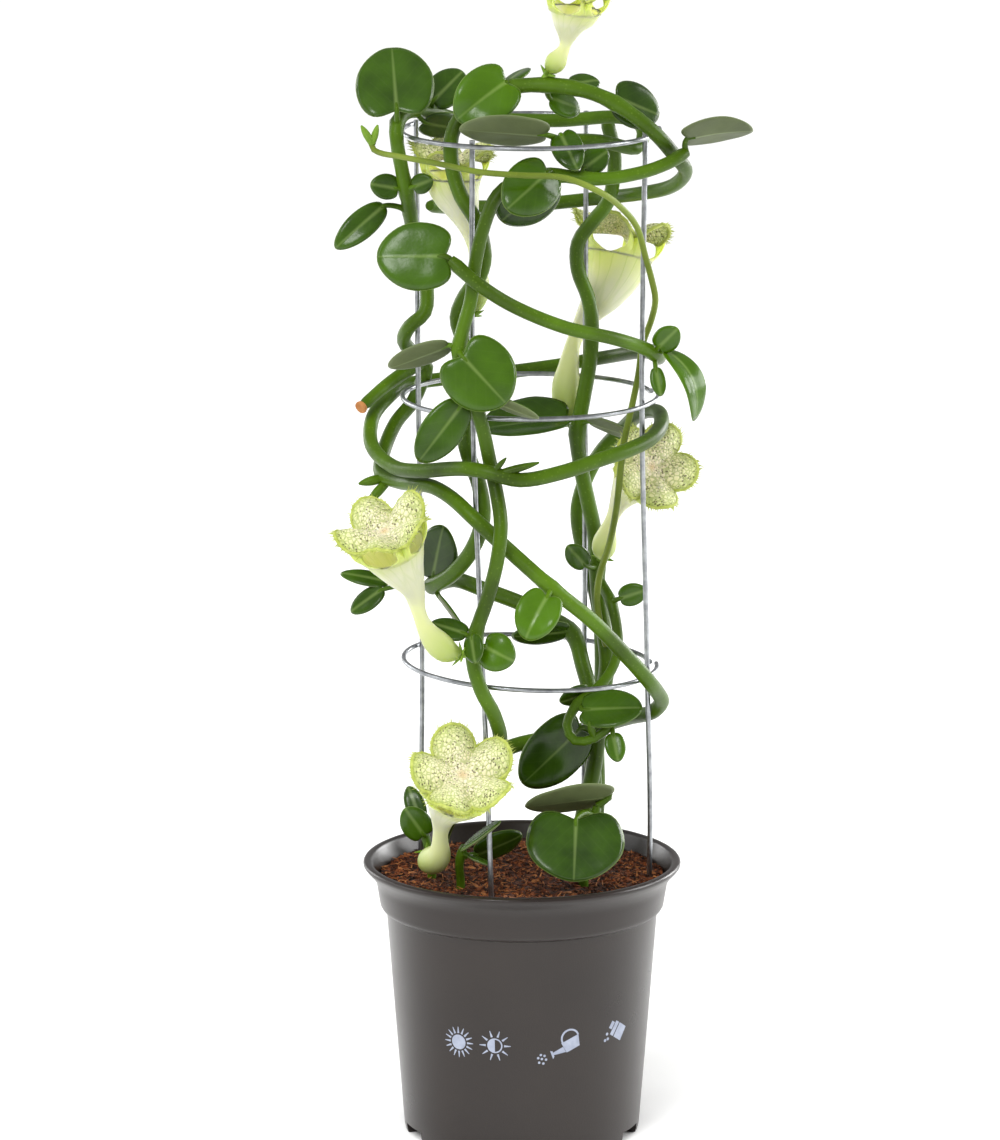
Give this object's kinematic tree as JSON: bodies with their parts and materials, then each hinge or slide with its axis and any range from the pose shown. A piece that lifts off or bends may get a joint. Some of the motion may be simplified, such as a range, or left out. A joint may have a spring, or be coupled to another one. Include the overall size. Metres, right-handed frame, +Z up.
{
  "type": "potted parachute plant",
  "caption": "Twining houseplant with heart-shaped leaves and parachute flowers, climbing a ringed wire cage in a round nursery pot filled with soil.",
  "frame": {"origin": "middle of the pot's base, on the ground", "axes": "+Z up; the plant's front looks along -Y; +X to the right seen from the front"},
  "size_m": [0.1531, 0.1515, 0.4422],
  "materials": {
    "pot_plastic": "satin",
    "soil": "matte",
    "cage_wire": "galvanised",
    "green_plant": "satin",
    "twig_bark": "satin",
    "petal": "satin"
  },
  "bodies": {
    "root": {"pot": "pot_plastic", "soil": "soil", "stake_left": "cage_wire", "stake_front": "cage_wire", "stake_back": "cage_wire", "stake_right": "cage_wire", "ring_low": "cage_wire", "ring_mid": "cage_wire", "ring_top": "cage_wire", "stem_a": "green_plant", "stem_b": "green_plant", "stem_c": "green_plant", "stem_d": "green_plant", "stem_e": "green_plant", "twig": "twig_bark", "shoot_left": "green_plant", "shoot_middle": "green_plant", "shoot_right": "green_plant", "flower_left": "petal", "flower_front": "petal", "flower_right": "petal", "flower_back": "petal", "flower_inside": "petal", "flower_top": "petal"}
  },
  "joints": []
}
